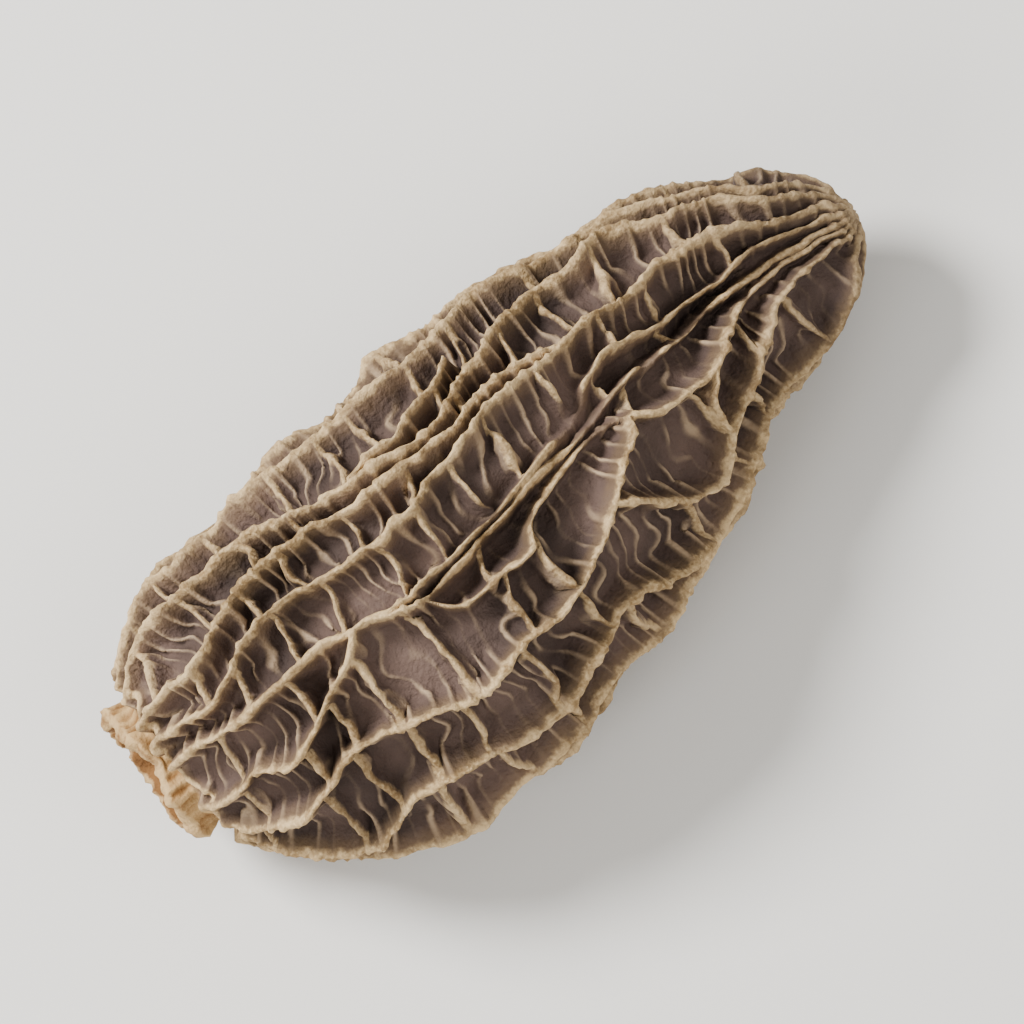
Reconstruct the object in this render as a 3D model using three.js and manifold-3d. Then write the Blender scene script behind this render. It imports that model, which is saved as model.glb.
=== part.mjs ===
// A dried black morel with its stalk cut short: one hollow piece of flesh, lying on its flattened side.
// The length runs along +X, from the cut stalk to the tip of the cap, and the part rests on the plane Z = 0.
// The skin is sampled along the crest and the feet of each ridge, and more thinly on the floors of the pits.
// Each sample also has a place on a unit sphere, and the hull of those places joins the samples by triangles.
import * as THREE from "three";
import { ConvexHull } from "three/addons/math/ConvexHull.js";
import { mergeVertices } from "three/addons/utils/BufferGeometryUtils.js";
import Module from "manifold-3d";

const { clamp, degToRad, lerp, smoothstep } = THREE.MathUtils;

// Driving sizes of the flesh between the ridges, in millimetres, as [place along the length, size there].
const HALF_WIDTH = [
  [-0.8, 4.0], [-0.2, 3.8], [0.5, 3.85], [1.4, 4.7], [3.2, 6.1], [7, 7.8], [12, 8.6], [17.5, 8.7],
  [24, 7.95], [28, 7.1], [31, 6.1], [34, 5.1], [38, 4.2], [40.5, 3.5], [42.2, 1.9], [42.9, 0],
];
const LEAN = [
  [-4, 0], [2, 0.5], [7, 1.85], [12, 2.1], [17, 1.95], [20, 1.45], [25, 0.25], [31, -1.2], [35, -1.8],
  [38, -1.5], [43, -1.1],
];
const CENTRE_HEIGHT = [[-4, 7.6], [3, 8.1], [8, 8.1], [17, 8.7], [24, 8.0], [30, 7.3], [36, 6.8], [43, 6.5]];
const HEIGHT_SHARE = [[-4, 0.94], [2, 0.93], [9, 0.85], [17, 0.84], [30, 0.86], [43, 0.95]];
const OVAL = { power: 2.2, rounderAbove: 0.3 };
const DENTS = [
  { waves: 3, size: 0.025, twist: 0.22, turn: 0 },
  { waves: 5, size: 0.02, twist: -0.35, turn: 1 },
];
const WALL = 1.0;
const RESTS_AT = 0.5;

// The stalk: where the cap's margin meets it, how slantwise it was cut, and its soft pleats.
const MARGIN = 0.7;
const CUT_SLANT = 0.5;
const CUT_WAVES = { waves: 3, size: 0.15 };
const PLEATS = { waves: 7, size: 0.2, turn: 0.6 };

// The hollow: where it ends inside the tip, and how far its cutter reaches out of the stalk.
const HOLLOW_TO = 38.5;
const HOLLOW_TIP = [40, 1.2, 6.65];
const MOUTH_OUT = 4;

// The fold between the two lobes of the cap, as [along, across] seen from the front.
const FOLD = [[13, 2.4], [19, 1.8], [23, 0.8], [26, -0.6], [30, -1.8], [35, -1.0], [43, -0.3]];
const FOLD_DEPTH = 1.5;
const FOLD_OPENS = [12, 19];
const FOLD_CLOSES = [40, 43];
const FOLD_HALF_WIDTH = 1.7;
const FOLD_DEEPEST_SHARE = 0.4;

// The net of ridges. The front is the side that shows its pits best, turned a little off the top.
const FRONT = degToRad(20);
const RIB_HEIGHT = 1.6;
const RUNG_HEIGHT = { least: 0.6, spread: 0.7 };
const LIP_HEIGHT = 0.8;
const LIP_OUT = 0.35;
const LIP_WAVES = [{ waves: 9, size: 0.22, turn: 0 }, { waves: 14, size: 0.12, turn: 1 }];
const FOOT_HEIGHT = 0.1;
const PIT_SAG = 0.25;
const RUNG_STEP = { least: 1.9, spread: 2.8 };
const RUNG_GAP = { least: 1.5, most: 6.5 };
const RUNG_SLANT = 1.2;
const UNEVEN = { size: 0.13, along: 0.9, waves: 3 };
const LOW_AT_MARGIN = { share: 0.55, grownAt: 6 };
const LOW_AT_TIP = { share: 0.4, from: 35, to: 43 };
const TIP_BUD = 0.4;

// How far apart the samples lie, and the least gap that is left between them.
const ROUTE_PARTS = 24;
const CREST_STEP = 0.85;
const FOOT_OUT = 0.5;
const FLOOR_STEP = 1.5;
const STALK_STEP = 0.8;
const LEAST_GAP = 0.42;
const FLOOR_GAP = 0.85;
const STALK_GAP = 0.55;

// Ribs on the front of the cap, each as [along, across] in millimetres, seen square on. The places across
// are measured from the length's own line at this height.
const SEEN_LEVEL = 8.1;
const FRONT_RIBS = [
  [
    [0.9, -5.1], [4, -6.9], [9, -8.1], [16, -8.4], [22, -8.9], [30, -8.6], [36, -7.0], [40, -5.0],
    [42.88, -1.9],
  ],
  [
    [0.8, -4.2], [4, -6.1], [9, -6.6], [15, -6.0], [20, -5.7], [23, -6.8], [30, -7.4], [36, -6.2],
    [40, -4.2], [42.88, -1.4],
  ],
  [[16, -6.1], [19, -6.7], [22.5, -8.0]],
  [[0.9, -1.8], [4, -3.0], [7, -4.5], [10, -5.1], [16, -5.0], [21, -4.9], [25, -5.3], [27, -4.6]],
  [
    [0.8, -0.5], [4, -1.0], [7, -2.4], [10, -3.0], [14, -2.8], [17.5, -2.7], [20, -3.6], [30, -4.5],
    [36, -4.3], [40, -2.8], [42.88, -1.0],
  ],
  [
    [0.9, 0.9], [8, 0.5], [12, 0.6], [15, 1.0], [19, 0.5], [23, -0.2], [26, -1.6], [29, -2.8],
    [34.5, -2.0], [38, -2.2], [42.88, -0.7],
  ],
  [[13, 0.9], [15.5, 1.9], [19, 1.1], [23, 0.3], [29.5, -0.7], [32.5, 0.1], [37, -0.5], [42.88, -0.5]],
  [[15.5, 1.9], [16.6, 3.8], [20.2, 3.6]],
  [
    [20.2, 3.6], [20.6, 2.7], [23, 1.4], [25.5, 0.6], [27.2, 1.0], [26.4, 2.6], [24.5, 4.3], [22.5, 5.8],
    [20, 6.9], [16, 7.2], [12, 7.0], [8.5, 6.4], [4.5, 7.0], [1.0, 5.0],
  ],
  [[0.8, 3.7], [4, 4.3], [7, 4.0], [10, 2.4], [12, 0.7]],
  [[27.2, 1.0], [29, 2.0], [32.2, 2.1], [35, 0.8], [38, 0.4], [42.88, -0.2]],
  [[32.2, 2.1], [31.2, 3.5], [31, 5.2]],
  [[24.5, 4.3], [26.5, 6.2], [29, 6.8], [31, 5.2], [33.5, 3.7], [37, 1.9], [42.88, 0.1]],
  [
    [1.0, 6.0], [5, 9.3], [10, 9.7], [17, 10.0], [20, 9.1], [23, 8.5], [28, 8.2], [31, 6.8],
    [35, 4.9], [39, 4.2], [41.4, 2.6], [42.88, 0.5],
  ],
  [[1.1, 6.5], [4, 9.6], [9, 11.6], [15, 12.0], [20, 11.1], [24, 9.9], [27, 9.0], [29.6, 7.7]],
];
// How far a crest stands out at the side of the cap, which the widths above include.
const SILHOUETTE = 1.5;

// Ribs by rule round the back, between the outer ribs of the front.
const BACK_RIBS = 11;
const BACK_FROM = FRONT + degToRad(88);
const BACK_TO = FRONT + degToRad(272);
const BACK_WANDER = [{ size: 0.1, along: 0.21, seed: 0 }, { size: 0.07, along: 0.47, seed: 40 }];
const RIBS_FROM = 0.9;
const RIBS_TO = 42.88;
const SHORT_RIB_FROM = { least: 3, spread: 5 };
const SHORT_RIB_TO = { least: 29, spread: 7 };
const SHORT_RIB_BEND = 0.15;

// A seeded draw from 0 to 1: the same number for the same seed.
function draw(seed) {
  const x = Math.sin(seed * 12.9898 + 4.1414) * 43758.5453;
  return x - Math.floor(x);
}

// The value of a list of [place, value] pairs at a place, on a smooth curve through the pairs.
function along(pairs, place) {
  const last = pairs.length - 1;
  if (place <= pairs[0][0]) return pairs[0][1];
  if (place >= pairs[last][0]) return pairs[last][1];
  const i = pairs.findIndex((pair, k) => k < last && place <= pairs[k + 1][0]);
  const slope = (k) => {
    const [before, after] = [Math.max(k - 1, 0), Math.min(k + 1, last)];
    return (pairs[after][1] - pairs[before][1]) / (pairs[after][0] - pairs[before][0]);
  };
  const span = pairs[i + 1][0] - pairs[i][0];
  const t = (place - pairs[i][0]) / span;
  const [t2, t3] = [t * t, t * t * t];
  return (
    (2 * t3 - 3 * t2 + 1) * pairs[i][1] + (t3 - 2 * t2 + t) * span * slope(i) +
    (3 * t2 - 2 * t3) * pairs[i + 1][1] + (t3 - t2) * span * slope(i + 1)
  );
}

// The outline of the flesh from the cut stalk to the tip, as points evenly spaced along it.
const OUTLINE_PARTS = 600;
const outline = new THREE.CatmullRomCurve3(
  HALF_WIDTH.map(([x, width]) => new THREE.Vector3(x, width, 0)), false, "catmullrom", 0.5,
);
const outlinePoints = outline.getSpacedPoints(OUTLINE_PARTS);
const outlineLength = outline.getLength();
const STALK_END = HALF_WIDTH[0][0];

// The point of the outline at a share of its length, from 0 at the cut to 1 at the tip.
function outlineAt(share) {
  const place = clamp(share, 0, 1) * OUTLINE_PARTS;
  const i = Math.min(Math.floor(place), OUTLINE_PARTS - 1);
  return outlinePoints[i].clone().lerp(outlinePoints[i + 1], place - i);
}

// The share of the outline's length at a place along the part.
function shareAt(x) {
  const i = outlinePoints.findIndex((point, k) => k > 0 && point.x >= x);
  if (i < 0) return 1;
  const [a, b] = [outlinePoints[i - 1], outlinePoints[i]];
  return (i - 1 + clamp((x - a.x) / (b.x - a.x), 0, 1)) / OUTLINE_PARTS;
}

// The angle round the length, from +Z towards -Y, of a point seen from the front.
function seenAngle(x, across) {
  const half = outlineAt(shareAt(x)).y + SILHOUETTE;
  const rise = along(CENTRE_HEIGHT, x) - SEEN_LEVEL;
  const middle = along(LEAN, x) * Math.cos(FRONT) - rise * Math.sin(FRONT);
  return FRONT + Math.asin(clamp((across - middle) / half, -0.98, 0.98));
}

const foldRoute = FOLD.map(([x, across]) => [x, seenAngle(x, across)]);

// How far the fold between the two lobes sinks the flesh.
function foldAt(x, angle, radius) {
  const turned = Math.atan2(Math.sin(angle - FRONT), Math.cos(angle - FRONT)) + FRONT;
  const off = (turned - along(foldRoute, x)) * radius;
  const open = smoothstep(x, ...FOLD_OPENS) * (1 - smoothstep(x, ...FOLD_CLOSES));
  return FOLD_DEPTH * open * Math.exp(-((off / FOLD_HALF_WIDTH) ** 2));
}

// The distance of the smooth flesh from the middle of the part, an oval with a few soft dents.
function radiusAt(share, angle) {
  const { x, y: width } = outlineAt(share);
  const height = width * along(HEIGHT_SHARE, x);
  const power = OVAL.power - OVAL.rounderAbove * Math.cos(angle);
  const sideways = Math.abs(Math.sin(angle) / Math.max(width, 1e-3)) ** power;
  const upright = Math.abs(Math.cos(angle) / Math.max(height, 1e-3)) ** power;
  const dents = DENTS.map((dent) => dent.size * Math.cos(dent.waves * angle + dent.twist * x + dent.turn));
  const stalk = 1 - smoothstep(x, MARGIN - 1, MARGIN);
  const pleats = PLEATS.size * stalk * Math.cos(PLEATS.waves * angle + PLEATS.turn);
  return (sideways + upright) ** (-1 / power) * (1 + dents[0] + dents[1]) + pleats;
}

// A point of the smooth flesh, between the ridges. The cut slants, so that the stalk is longest underneath.
function flesh(share, angle, folded = true) {
  const { x, y: width } = outlineAt(share);
  const plain = radiusAt(share, angle);
  const radius = folded ? plain - Math.min(foldAt(x, angle, width), FOLD_DEEPEST_SHARE * plain) : plain;
  const stalk = 1 - smoothstep(x, STALK_END, MARGIN);
  const cut = CUT_SLANT * Math.cos(angle - FRONT) + CUT_WAVES.size * Math.cos(CUT_WAVES.waves * angle);
  return new THREE.Vector3(
    x + stalk * cut,
    -along(LEAN, x) - radius * Math.sin(angle),
    along(CENTRE_HEIGHT, x) + radius * Math.cos(angle),
  );
}

// The outward direction there, that of the flesh without its fold, so that crests never lean on each other.
function outward(share, angle) {
  const [step, turn] = [0.004, 0.02];
  if (share > 1 - step) return new THREE.Vector3(1, 0, 0);
  const forwards = flesh(share + step, angle, false).sub(flesh(Math.max(share - step, 0), angle, false));
  const round = flesh(share, angle + turn, false).sub(flesh(share, angle - turn, false));
  return round.cross(forwards).normalize();
}

// A route over the flesh is a list of points as [place along the part, angle].
function frontRibs() {
  return FRONT_RIBS.map((points) => {
    const knots = points.map(([x, across]) => new THREE.Vector2(x, seenAngle(x, across)));
    return new THREE.SplineCurve(knots).getPoints(points.length * ROUTE_PARTS).map((p) => [p.x, p.y]);
  });
}

// Every second rib is short, and each of its ends bends into a neighbour.
function backRibs() {
  const steps = 160;
  const spread = (k) => BACK_FROM + ((BACK_TO - BACK_FROM) * (k + 0.5)) / BACK_RIBS;
  const wander = (k, x) =>
    BACK_WANDER.map((wave) => wave.size * Math.sin(wave.along * x + 6.3 * draw(k + wave.seed)))
      .reduce((sum, size) => sum + size);
  return Array.from({ length: BACK_RIBS }, (_, k) => {
    const short = k % 2 === 1;
    const from = short ? SHORT_RIB_FROM.least + SHORT_RIB_FROM.spread * draw(k + 80) : RIBS_FROM;
    const to = short ? SHORT_RIB_TO.least + SHORT_RIB_TO.spread * draw(k + 120) : RIBS_TO;
    const side = draw(k + 160) < 0.5 ? -1 : 1;
    return Array.from({ length: steps + 1 }, (_, i) => {
      const x = from + ((to - from) * i) / steps;
      const toEnd = Math.min(i, steps - i) / steps;
      const bend = short ? Math.max(1 - toEnd / SHORT_RIB_BEND, 0) ** 1.5 : 0;
      const own = spread(k) + wander(k, x);
      const next = spread(k + side) + wander(k + side, x);
      return [x, own + (next - own) * bend];
    });
  });
}

// The angle at which a rib crosses a place along the part, or null.
function crossing(rib, x) {
  for (let i = 1; i < rib.length; i++) {
    const [a, b] = [rib[i - 1], rib[i]];
    const between = (a[0] - x) * (b[0] - x) <= 0 && a[0] !== b[0];
    if (between) return a[1] + ((b[1] - a[1]) * (x - a[0])) / (b[0] - a[0]);
  }
  return null;
}

// How far round the next rib lies past an angle.
function turnToNextRib(ribs, own, x, angle) {
  const turns = ribs
    .filter((rib) => rib !== own)
    .map((rib) => crossing(rib, x))
    .filter((there) => there !== null)
    .map((there) => THREE.MathUtils.euclideanModulo(there - angle, 2 * Math.PI));
  return Math.min(...turns.filter((turn) => turn > 0.02));
}

// Cross ridges, like the rungs of a ladder, from each rib to the next.
function rungs(ribs) {
  const found = [];
  ribs.forEach((rib, k) => {
    const places = rib.map(([x]) => x);
    const end = Math.max(...places) - 1;
    let x = Math.min(...places) + 1 + 2.5 * draw(k + 200);
    for (let n = 0; x < end; n++) {
      const seed = 10 * k + n + 300;
      const slant = RUNG_SLANT * (draw(seed) - 0.5);
      const bow = draw(seed + 0.5) - 0.5;
      const angle = crossing(rib, x);
      const turn = turnToNextRib(ribs, rib, x + slant, angle);
      const length = turn * outlineAt(shareAt(x)).y;
      if (length > RUNG_GAP.least && length < RUNG_GAP.most) {
        const curve = new THREE.QuadraticBezierCurve(
          new THREE.Vector2(x, angle),
          new THREE.Vector2(x + slant / 2 + bow, angle + turn / 2),
          new THREE.Vector2(x + slant, angle + turn),
        );
        const height = RUNG_HEIGHT.least + RUNG_HEIGHT.spread * draw(seed + 0.3);
        found.push({ route: curve.getPoints(ROUTE_PARTS).map((p) => [p.x, p.y]), height });
      }
      x += RUNG_STEP.least + RUNG_STEP.spread * draw(seed + 0.7);
    }
  });
  return found;
}

// The wavy lip where the cap ends over the stalk.
function marginLip() {
  const steps = 240;
  return Array.from({ length: steps + 1 }, (_, i) => {
    const angle = (2 * Math.PI * i) / steps;
    const waves = LIP_WAVES.map((wave) => wave.size * Math.sin(wave.waves * angle + wave.turn));
    return [MARGIN + LIP_OUT + waves[0] + waves[1], angle];
  });
}

// Every ridge as its route and the height of its crest.
function ridges() {
  const ribs = [...frontRibs(), ...backRibs()];
  return [
    { route: marginLip(), height: LIP_HEIGHT },
    ...ribs.map((route) => ({ route, height: RIB_HEIGHT })),
    ...rungs(ribs),
  ];
}

// How tall the ridges stand at a place: low at the margin and at the tip, and a little uneven between.
function ridgeShare(x, angle) {
  const margin = lerp(LOW_AT_MARGIN.share, 1, smoothstep(x, 0, LOW_AT_MARGIN.grownAt));
  const tip = lerp(1, LOW_AT_TIP.share, smoothstep(x, LOW_AT_TIP.from, LOW_AT_TIP.to));
  return margin * tip * (1 + UNEVEN.size * Math.sin(UNEVEN.along * x + UNEVEN.waves * angle));
}

// The places of the outline on a sphere, as on a globe whose map keeps every shape: how far north each lies.
const north = [0];
for (let i = 1; i <= OUTLINE_PARTS; i++) {
  const [a, b] = [outlinePoints[i - 1], outlinePoints[i]];
  north.push(north[i - 1] + a.distanceTo(b) / Math.max((a.y + b.y) / 2, 0.02));
}
const NORTH_MIDDLE = north[OUTLINE_PARTS / 2];

function onSphere(share, angle, beyond = 0) {
  const place = clamp(share, 0, 1) * OUTLINE_PARTS;
  const i = Math.min(Math.floor(place), OUTLINE_PARTS - 1);
  const latitude = north[i] + (north[i + 1] - north[i]) * (place - i) - NORTH_MIDDLE - beyond;
  const girth = 1 / Math.cosh(latitude);
  return new THREE.Vector3(girth * Math.cos(angle), girth * Math.sin(angle), Math.tanh(latitude));
}

// A sample of the skin: where it is, where its foot is on the flesh, and its place on the sphere.
function sample(share, angle, out) {
  const foot = flesh(share, angle);
  const at = foot.clone().addScaledVector(outward(share, angle), out);
  return { foot, at, globe: onSphere(share, angle) };
}

// Points at even steps along a route, each with the way sideways there as a share and an angle.
function paces(route, step) {
  const points = route.map(([x, angle]) => ({ share: shareAt(x), angle }));
  const feet = points.map((p) => flesh(p.share, p.angle));
  const run = [0];
  for (let i = 1; i < feet.length; i++) run.push(run[i - 1] + feet[i].distanceTo(feet[i - 1]));
  const count = Math.max(Math.round(run.at(-1) / step), 1);
  return Array.from({ length: count + 1 }, (_, n) => {
    const i = run.findIndex((length) => length >= (run.at(-1) * n) / count - 1e-9);
    const [before, after] = [points[Math.max(i - 1, 0)], points[Math.min(i + 1, points.length - 1)]];
    const radius = radiusAt(points[i].share, points[i].angle);
    const ahead = (after.share - before.share) * outlineLength;
    const round = (after.angle - before.angle) * radius;
    const length = Math.hypot(ahead, round);
    const aside = { share: -round / length / outlineLength, angle: ahead / length / radius };
    return { ...points[i], aside };
  });
}

// Samples of the outside: crests first, then the feet on both sides of them, then floors, stalk and cut end.
function outsideSamples() {
  const samples = [{ ...sample(1, 0, TIP_BUD), globe: new THREE.Vector3(0, 0, 1) }, ...cutEnd()];
  const kept = samples.map(({ foot }) => foot);
  const crestLines = [];
  const near = (points, place, gap) => points.some((p) => p.distanceToSquared(place) < gap * gap);
  const keepClear = (made, gap) => {
    if (near(crestLines, made.foot, gap) || near(kept, made.foot, gap)) return;
    samples.push(made);
    kept.push(made.foot);
  };
  const nets = ridges().map(({ route, height }) => ({ route, height, steps: paces(route, CREST_STEP) }));
  nets.forEach(({ route, height, steps }) => {
    steps.forEach(({ share, angle }) => {
      keepClear(sample(share, angle, height * ridgeShare(outlineAt(share).x, angle)), LEAST_GAP);
    });
    crestLines.push(...route.map(([x, angle]) => flesh(shareAt(x), angle)));
  });
  nets.forEach(({ steps }) => {
    steps.forEach(({ share, angle, aside }) => {
      [-FOOT_OUT, FOOT_OUT].forEach((off) => {
        const beside = clamp(share + off * aside.share, 0.01, 0.995);
        keepClear(sample(beside, angle + off * aside.angle, FOOT_HEIGHT), LEAST_GAP);
      });
    });
  });
  floorPlaces().forEach(({ share, angle, gap }) => {
    keepClear(sample(share, angle, outlineAt(share).x < MARGIN ? 0 : -PIT_SAG), gap);
  });
  return samples;
}

// Places spread over the whole skin in staggered rows, closer on the stalk.
function floorPlaces() {
  const places = [];
  let share = 0;
  for (let row = 0; share < 0.99; row++) {
    const { x, y: radius } = outlineAt(share);
    const step = x < MARGIN ? STALK_STEP : FLOOR_STEP;
    const count = Math.round((2 * Math.PI * radius) / step);
    for (let k = 0; k < count; k++) {
      const seed = 100 * row + k;
      const angle = (2 * Math.PI * (k + 0.5 * (row % 2) + 0.3 * draw(seed))) / count;
      places.push({ share, angle, gap: x < MARGIN ? STALK_GAP : FLOOR_GAP });
    }
    share += (0.8 * step) / outlineLength;
  }
  return places;
}

// The cut end of the stalk: its edge, a ring inside it, and its middle.
function cutEnd() {
  const count = 40;
  const middle = new THREE.Vector3(STALK_END, -along(LEAN, STALK_END), along(CENTRE_HEIGHT, STALK_END));
  const rings = [0, 0.45].flatMap((inwards) =>
    Array.from({ length: count }, (_, k) => {
      const angle = (2 * Math.PI * k) / count;
      const at = flesh(0, angle).lerp(middle, inwards);
      return { foot: at, at, globe: onSphere(0, angle, inwards) };
    }),
  );
  return [...rings, { foot: middle, at: middle, globe: new THREE.Vector3(0, 0, -1) }];
}

// Samples of the hollow, which runs out through the cut and ends short of the tip.
function hollowSamples() {
  const [rows, columns] = [16, 22];
  const last = shareAt(HOLLOW_TO);
  const samples = [];
  for (let row = -1; row <= rows; row++) {
    const share = (last * Math.max(row, 0)) / rows;
    for (let k = 0; k < columns; k++) {
      const angle = (2 * Math.PI * (k + 0.5 * (row & 1))) / columns;
      const at = flesh(share, angle).addScaledVector(outward(share, angle), -WALL);
      if (row < 0) at.x -= MOUTH_OUT;
      samples.push({ at, globe: onSphere(share, angle, row < 0 ? 0.5 : 0) });
    }
  }
  const mouth = new THREE.Vector3(STALK_END - MOUTH_OUT, 0, along(CENTRE_HEIGHT, STALK_END));
  samples.push({ at: mouth, globe: new THREE.Vector3(0, 0, -1) });
  samples.push({ at: new THREE.Vector3(...HOLLOW_TIP), globe: new THREE.Vector3(0, 0, 1) });
  return samples;
}

// The closed surface through samples, joined as their places on the sphere are by its hull.
function surfaceThrough(samples) {
  const number = new Map(samples.map(({ globe }, i) => [globe, i]));
  const hull = new ConvexHull().setFromPoints(samples.map(({ globe }) => globe));
  const index = [];
  hull.faces.forEach((face) => {
    const start = face.edge;
    let edge = start;
    do {
      index.push(number.get(edge.head().point));
      edge = edge.next;
    } while (edge !== start);
  });
  return new THREE.BufferGeometry()
    .setAttribute("position", new THREE.Float32BufferAttribute(samples.flatMap(({ at }) => at.toArray()), 3))
    .setIndex(index);
}

const wasm = await Module();
wasm.setup();

function solid(geometry) {
  const bare = geometry.clone();
  bare.deleteAttribute("normal");
  bare.deleteAttribute("uv");
  const merged = mergeVertices(bare, 1e-4);
  return new wasm.Manifold(
    new wasm.Mesh({
      numProp: 3,
      vertProperties: new Float32Array(merged.attributes.position.array),
      triVerts: new Uint32Array(merged.index.array),
    }),
  );
}

function geometryOf(manifold) {
  const { vertProperties, triVerts } = manifold.getMesh();
  const geometry = new THREE.BufferGeometry()
    .setAttribute("position", new THREE.BufferAttribute(vertProperties, 3))
    .setIndex(new THREE.BufferAttribute(triVerts, 1));
  geometry.computeVertexNormals();
  return geometry;
}

// The flesh with its ridges, hollow inside, with the underside pressed flat where the morel lay to dry.
function morelGeometry() {
  const tray = new THREE.BoxGeometry(80, 60, 20).translate(20, 0, RESTS_AT - 10);
  const whole = solid(surfaceThrough(outsideSamples()));
  return geometryOf(whole.subtract(solid(surfaceThrough(hollowSamples()))).subtract(solid(tray)));
}

const driedFlesh = new THREE.MeshStandardMaterial({ color: "#4a382a", roughness: 0.9, metalness: 0 });
const morel = new THREE.Mesh(morelGeometry(), driedFlesh);
morel.name = "dried_morel";
morel.geometry.computeBoundingBox();
const { min, max } = morel.geometry.boundingBox;
morel.position.set(-(min.x + max.x) / 2, -(min.y + max.y) / 2, -min.z);

const part = new THREE.Group();
part.add(morel);

export default part;
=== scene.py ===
"""A dried black morel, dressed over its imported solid.

The flesh is one closed skin: the cap's outside, the cut edge of the stalk and the wall of the hollow.
A geometry tree raises the net of ribs from that skin, wrinkles it as drying does, and presses it flat
underneath.
"""

import math

import bpy
import numpy as np
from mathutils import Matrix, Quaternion, Vector


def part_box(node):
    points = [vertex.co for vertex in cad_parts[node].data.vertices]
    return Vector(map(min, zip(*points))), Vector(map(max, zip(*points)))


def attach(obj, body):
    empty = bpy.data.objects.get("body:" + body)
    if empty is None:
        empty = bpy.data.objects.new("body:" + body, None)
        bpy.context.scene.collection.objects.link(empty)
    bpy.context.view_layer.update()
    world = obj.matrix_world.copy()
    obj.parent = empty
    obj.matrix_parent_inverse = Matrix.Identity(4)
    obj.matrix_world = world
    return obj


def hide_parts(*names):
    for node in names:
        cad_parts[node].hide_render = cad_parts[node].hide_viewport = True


bl_info = {
    "name": "Dried morel",
    "version": (1, 0, 0),
    "blender": (4, 5, 0),
    "location": "View3D > Sidebar > Morel",
    "description": "Grows a dried morel over its packed solid and sets a plain stage round it",
    "category": "Add Mesh",
}

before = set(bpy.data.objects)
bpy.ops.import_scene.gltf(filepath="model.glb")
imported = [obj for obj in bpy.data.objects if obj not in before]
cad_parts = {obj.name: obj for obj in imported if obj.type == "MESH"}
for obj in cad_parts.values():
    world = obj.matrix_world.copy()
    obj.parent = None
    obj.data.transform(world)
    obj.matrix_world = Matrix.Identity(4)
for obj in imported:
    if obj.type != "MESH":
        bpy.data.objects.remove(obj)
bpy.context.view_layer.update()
CAD_NODE = "dried_morel"
MM = 0.001

# Driving sizes of the flesh between the ridges, in millimetres, as [place along the length, size there].
HALF_WIDTH = [
    [-0.8, 4.0], [-0.2, 3.8], [0.5, 3.85], [1.4, 4.7], [3.2, 6.1], [7, 7.8], [12, 8.6], [17.5, 8.7],
    [24, 7.95], [28, 7.1], [31, 6.1], [34, 5.1], [38, 4.2], [40.5, 3.5], [42.2, 1.9], [42.9, 0],
]
LEAN = [
    [-4, 0], [2, 0.5], [7, 1.85], [12, 2.1], [17, 1.95], [20, 1.45], [25, 0.25], [31, -1.2], [35, -1.8],
    [38, -1.5], [43, -1.1],
]
CENTRE_HEIGHT = [[-4, 7.6], [3, 8.1], [8, 8.1], [17, 8.7], [24, 8.0], [30, 7.3], [36, 6.8], [43, 6.5]]
HEIGHT_SHARE = [[-4, 0.94], [2, 0.93], [9, 0.85], [17, 0.84], [30, 0.86], [43, 0.95]]
OVAL_POWER = 2.2
ROUNDER_ABOVE = 0.3
DENTS = [
    {"waves": 3, "size": 0.025, "twist": 0.22, "turn": 0},
    {"waves": 5, "size": 0.02, "twist": -0.35, "turn": 1},
]
WALL = 1.0

# The stalk: where the cap's margin meets it, how slantwise it was cut, and its soft pleats.
STALK_END = HALF_WIDTH[0][0]
MARGIN = 0.7
CUT_SLANT = 0.5
CUT_WAVES = {"waves": 3, "size": 0.15}
PLEATS = {"waves": 7, "size": 0.2, "turn": 0.6, "fade": 1}
# Over how many millimetres the skin turns from stalk into cap outside, to both sides of the margin, and how
# far the look of the stalk reaches along the wall of the hollow.
MARGIN_SOFT = 0.3
STALK_LINING = 3

# The hollow ends here inside the tip.
HOLLOW_TO = 38.5
HOLLOW_TIP = (40, 1.2, 6.65)

# The fold between the two lobes of the cap, as [along, across] seen from the front.
FOLD = [[13, 2.4], [19, 1.8], [23, 0.8], [26, -0.6], [30, -1.8], [35, -1.0], [43, -0.3]]
FOLD_DEPTH = 1.5
FOLD_OPENS = (12, 19)
FOLD_CLOSES = (40, 43)
FOLD_HALF_WIDTH = 1.7
FOLD_DEEPEST_SHARE = 0.4

# The net of ridges. The front is the side that shows its pits best, turned a little off the top.
FRONT = math.radians(20)
RIB_HEIGHT = 1.6
RUNG_HEIGHT = {"least": 0.6, "spread": 0.7}
LIP_HEIGHT = 0.8
LIP_OUT = 0.35
LIP_WAVES = [{"waves": 9, "size": 0.22, "turn": 0}, {"waves": 14, "size": 0.12, "turn": 1}]
RUNG_STEP = {"least": 1.9, "spread": 2.8}
RUNG_GAP = {"least": 1.5, "most": 6.5}
RUNG_SLANT = 1.2
RUNG_FREE_ENDS = 1
FIRST_RUNG_SPREAD = 2.5
LEAST_TURN = 0.02
UNEVEN = {"size": 0.13, "along": 0.9, "waves": 3}
LOW_AT_MARGIN = {"share": 0.55, "grown_at": 6}
LOW_AT_TIP = {"share": 0.4, "from": 35, "to": 43}
ROUTE_PARTS = 24

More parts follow.
